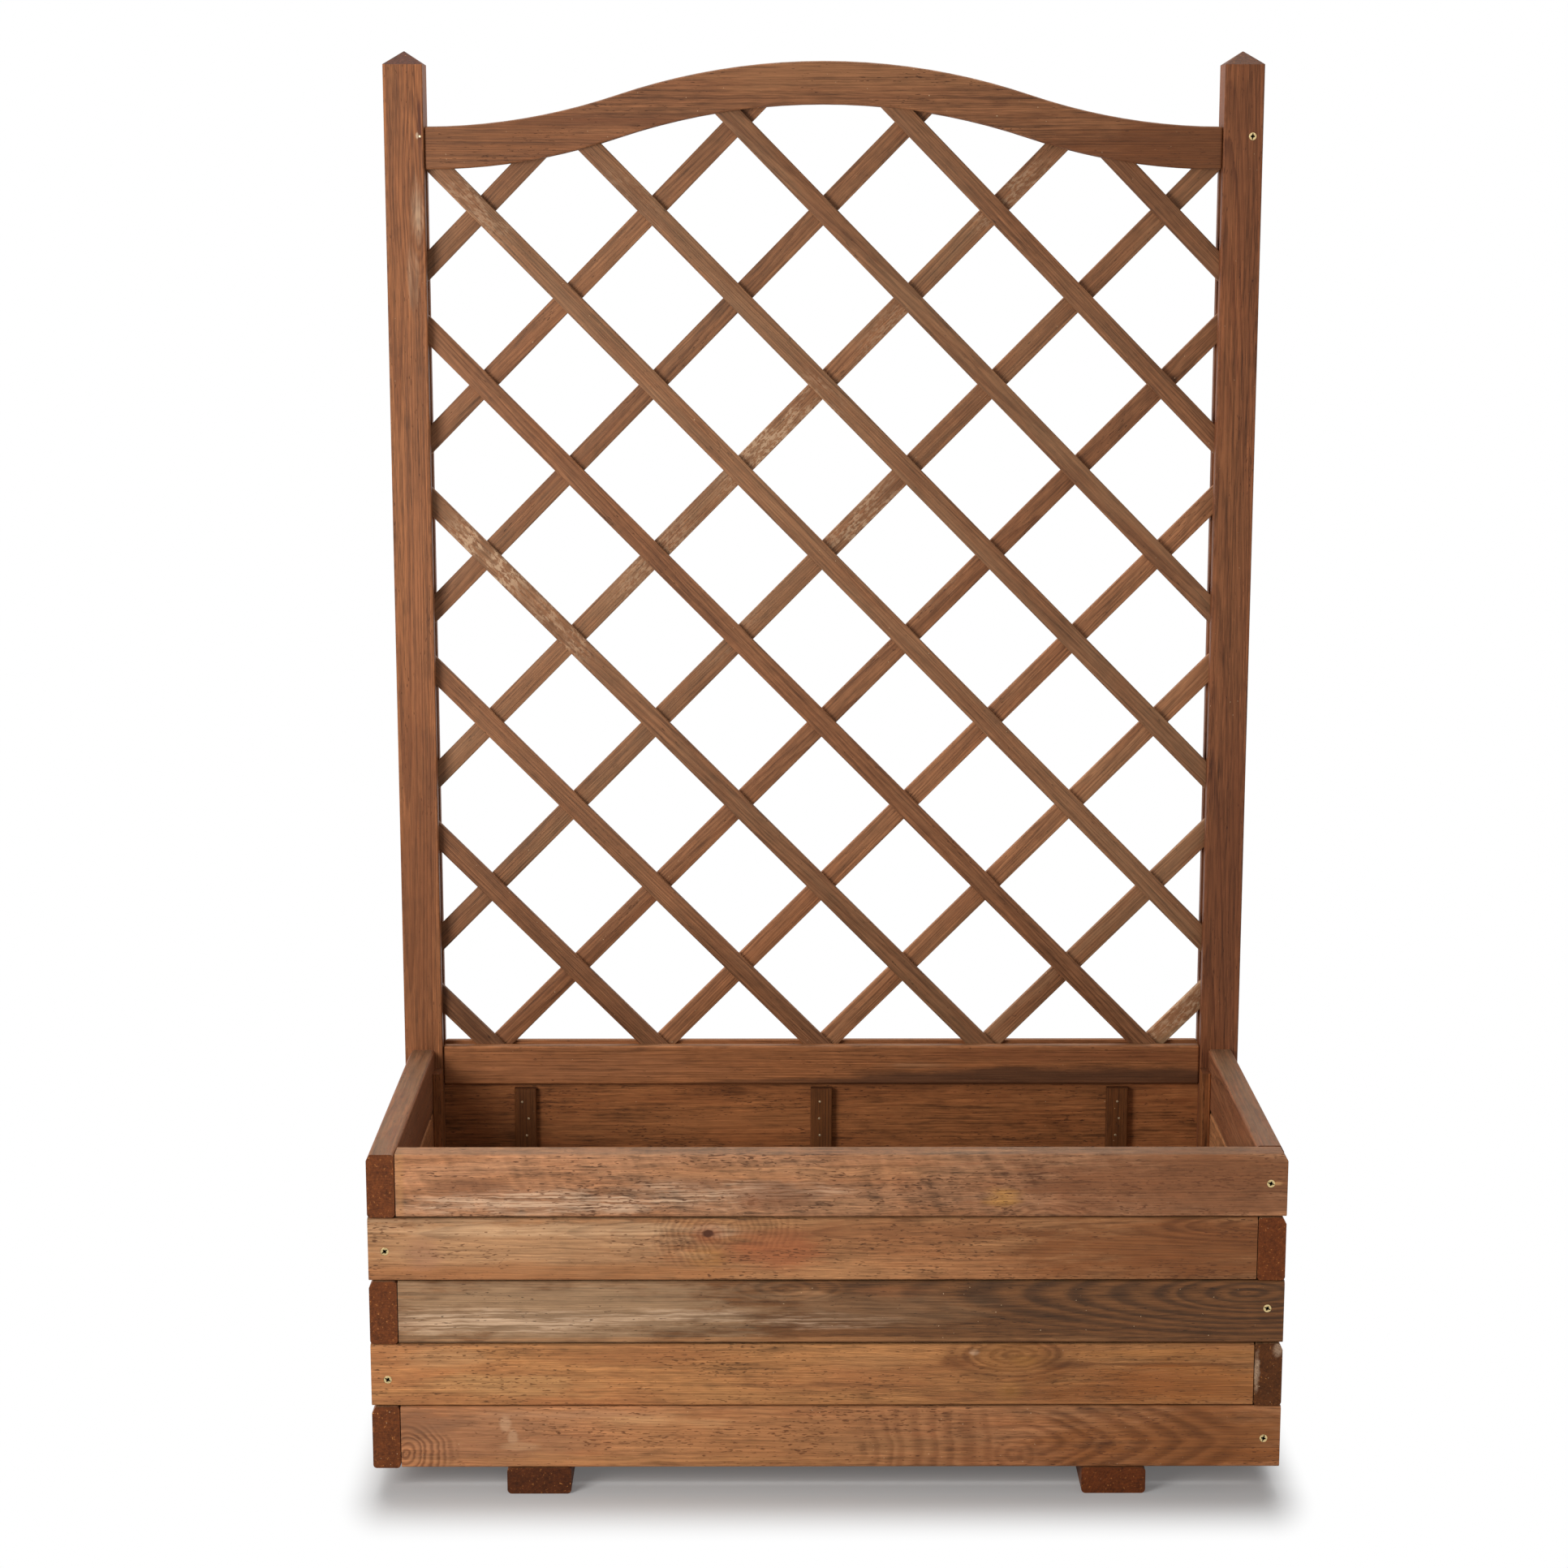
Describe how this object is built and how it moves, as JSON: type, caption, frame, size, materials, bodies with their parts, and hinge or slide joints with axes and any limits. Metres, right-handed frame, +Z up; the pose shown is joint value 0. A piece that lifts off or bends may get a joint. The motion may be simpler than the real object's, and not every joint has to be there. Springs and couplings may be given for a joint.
{
  "type": "planter with trellis",
  "caption": "Rectangular planter box of stacked stained boards on runners, with a square-post trellis frame behind it holding a diagonal lattice under an arched rail.",
  "frame": {"origin": "on the ground, at the middle of the footprint", "axes": "+Z up, the front of the box faces -Y, the trellis stands at +Y, +X to the right seen from the front"},
  "size_m": [1, 0.46, 1.556],
  "materials": {
    "post_wood": "penetrating brown stain on softwood, planed, satin",
    "rail_wood": "penetrating brown stain on softwood, planed, satin",
    "slat_wood": "penetrating brown stain on softwood, sawn and eased, matt",
    "board_wood": "penetrating golden brown stain on softwood, planed, satin",
    "back_wood": "penetrating brown stain on softwood, planed, matt",
    "strip_wood": "penetrating dark brown stain on softwood, matt",
    "floor_wood": "penetrating brown stain on softwood, sawn, matt",
    "runner_wood": "penetrating dark brown stain on softwood, sawn, matt",
    "screw_metal": "yellow zinc plated, satin",
    "nail_metal": "bright steel with a light brown tarnish"
  },
  "bodies": {
    "root": {"back_board_1": "back_wood", "back_board_2": "back_wood", "back_board_3": "back_wood", "batten_left": "strip_wood", "batten_middle": "strip_wood", "batten_right": "strip_wood", "box_nails": "nail_metal", "cleat_back_left": "strip_wood", "cleat_back_right": "strip_wood", "cleat_front_left": "strip_wood", "cleat_front_right": "strip_wood", "corner_screws": "screw_metal", "floor_board_1": "floor_wood", "floor_board_2": "floor_wood", "floor_board_3": "floor_wood", "floor_board_4": "floor_wood", "front_board_1": "board_wood", "front_board_2": "board_wood", "front_board_3": "board_wood", "front_board_4": "board_wood", "front_board_5": "board_wood", "lattice_nails": "nail_metal", "left_board_1": "board_wood", "left_board_2": "board_wood", "left_board_3": "board_wood", "left_board_4": "board_wood", "left_board_5": "board_wood", "lower_rail": "rail_wood", "post_left": "post_wood", "post_right": "post_wood", "right_board_1": "board_wood", "right_board_2": "board_wood", "right_board_3": "board_wood", "right_board_4": "board_wood", "right_board_5": "board_wood", "runner_left": "runner_wood", "runner_right": "runner_wood", "runner_screws": "screw_metal", "slat_back_01": "slat_wood", "slat_back_02": "slat_wood", "slat_back_03": "slat_wood", "slat_back_04": "slat_wood", "slat_back_05": "slat_wood", "slat_back_06": "slat_wood", "slat_back_07": "slat_wood", "slat_back_08": "slat_wood", "slat_back_09": "slat_wood", "slat_back_10": "slat_wood", "slat_front_01": "slat_wood", "slat_front_02": "slat_wood", "slat_front_03": "slat_wood", "slat_front_04": "slat_wood", "slat_front_05": "slat_wood", "slat_front_06": "slat_wood", "slat_front_07": "slat_wood", "slat_front_08": "slat_wood", "slat_front_09": "slat_wood", "slat_front_10": "slat_wood", "top_rail": "rail_wood", "trellis_fixings": "screw_metal"}
  },
  "joints": []
}
